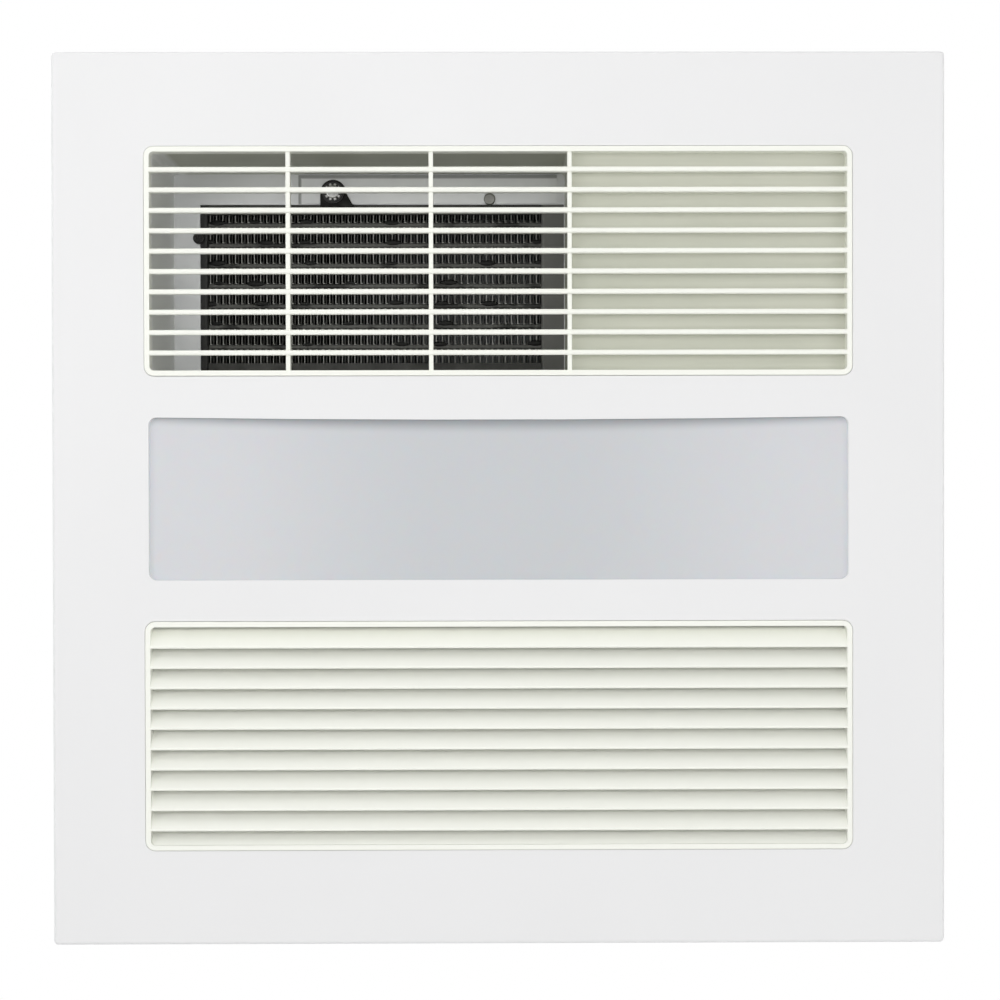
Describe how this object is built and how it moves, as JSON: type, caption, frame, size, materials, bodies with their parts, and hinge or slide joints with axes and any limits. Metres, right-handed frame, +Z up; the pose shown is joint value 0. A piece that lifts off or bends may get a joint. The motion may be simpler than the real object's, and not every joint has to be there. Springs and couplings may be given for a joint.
{
  "type": "bathroom ceiling heater",
  "caption": "Square recessed ceiling unit that warms, ventilates and lights a bathroom: slotted outlet over a finned heater, long diffused light, slanted intake louvre, blower and side duct.",
  "frame": {"origin": "centre of the four ceiling screw holes, on the ceiling plane at the top of the flange", "axes": "+Z up into the ceiling; the fascia faces -Z into the room; the warm-air outlet is on the -Y side, the intake on +Y"},
  "size_m": [0.4, 0.4185, 0.2104],
  "materials": {
    "fascia_white": "satin",
    "cream_plastic": "satin",
    "opal_sheet": "satin",
    "white_nylon": "satin",
    "white_sheet": "powder coated",
    "circuit_board": "matte",
    "galvanised_steel": "spangled",
    "zinc_steel": "zinc plated",
    "dark_bracket": "satin",
    "bright_cap": "satin",
    "black_plastic": "satin",
    "dark_aluminium": "matte",
    "tube_aluminium": "matte",
    "brass_terminal": "bright",
    "grey_plastic": "matte",
    "wheel_steel": "satin",
    "lamination": "varnished",
    "copper_winding": "varnished",
    "bronze_bush": "matte",
    "black_rubber": "matte",
    "white_case": "satin"
  },
  "bodies": {
    "housing": {"housing_roof": "galvanised_steel", "housing_side_panels": "galvanised_steel", "housing_end_panels": "galvanised_steel", "stud_sockets": "white_nylon", "partition_wall": "galvanised_steel", "cross_wall": "galvanised_steel", "case_screws": "zinc_steel", "small_screws": "zinc_steel", "outlet_collar": "cream_plastic", "heater_mount_plate": "galvanised_steel", "heater_clamp_strip": "galvanised_steel", "cutout_bracket": "dark_bracket", "thermal_cutout": "black_plastic", "cutout_cap": "bright_cap", "heater_tubes": "tube_aluminium", "heater_fins": "dark_aluminium", "heater_rails": "dark_aluminium", "heater_terminals": "brass_terminal", "heater_end_caps": "black_plastic", "scroll_casing": "grey_plastic", "scroll_cover": "grey_plastic", "scroll_standoffs": "zinc_steel", "inlet_ring": "grey_plastic", "motor_stator": "lamination", "motor_windings": "copper_winding", "motor_can": "zinc_steel", "motor_end_bell": "zinc_steel", "motor_bearings": "bronze_bush", "duct_spigot": "white_nylon", "spigot_gasket": "black_rubber", "damper_pin": "zinc_steel", "flap_bushes": "white_nylon", "damper_motor": "zinc_steel", "terminal_block": "white_nylon", "cable_gland": "black_plastic", "gland_nut": "black_plastic", "wiring_cover": "galvanised_steel", "earth_stud": "brass_terminal", "led_driver": "white_case", "run_capacitor": "white_case"},
    "fascia": {"fascia_panel": "fascia_white", "fascia_studs": "white_nylon", "heater_outlet_grille": "fascia_white", "outlet_blank_plate": "cream_plastic", "intake_louvre": "fascia_white", "light_diffuser": "opal_sheet", "led_tray": "white_sheet", "led_board": "circuit_board", "led_connector": "white_nylon", "push_nuts": "zinc_steel"},
    "blower_rotor": {"wheel_back_plate": "wheel_steel", "wheel_blades": "wheel_steel", "wheel_end_ring": "wheel_steel", "motor_shaft": "zinc_steel", "wheel_nut": "zinc_steel", "motor_rotor": "lamination"},
    "changeover": {"changeover_flap": "grey_plastic", "flap_shaft": "zinc_steel"},
    "backdraft_left": {"backdraft_flap_left": "grey_plastic"},
    "backdraft_right": {"backdraft_flap_right": "grey_plastic"}
  },
  "joints": [
    {"name": "blower_spin", "type": "hinge", "parent": "housing", "child": "blower_rotor", "pos_m": [-0.0493, 0.0693, 0.12], "axis": [0, 0, 1], "continuous": true},
    {"name": "changeover_turn", "type": "hinge", "parent": "housing", "child": "changeover", "pos_m": [-0.06412, -0.1568, 0.0835], "axis": [1, 0, 0], "range_deg": [-88, 0]},
    {"name": "backdraft_left_swing", "type": "hinge", "parent": "housing", "child": "backdraft_left", "pos_m": [-0.06412, -0.172, 0.138], "axis": [0, 0, 1], "range_deg": [0, 75], "stiffness_Nm_per_rad": 0.002},
    {"name": "backdraft_right_swing", "type": "hinge", "parent": "housing", "child": "backdraft_right", "pos_m": [-0.06412, -0.172, 0.138], "axis": [0, 0, 1], "range_deg": [-75, 0], "stiffness_Nm_per_rad": 0.002},
    {"name": "fascia_drop", "type": "slide", "parent": "housing", "child": "fascia", "axis": [0, 0, -1], "range_m": [0, 0.08]}
  ],
  "couplings": [
    {"joint": "backdraft_right_swing", "follows": "backdraft_left_swing", "ratio": -1}
  ]
}
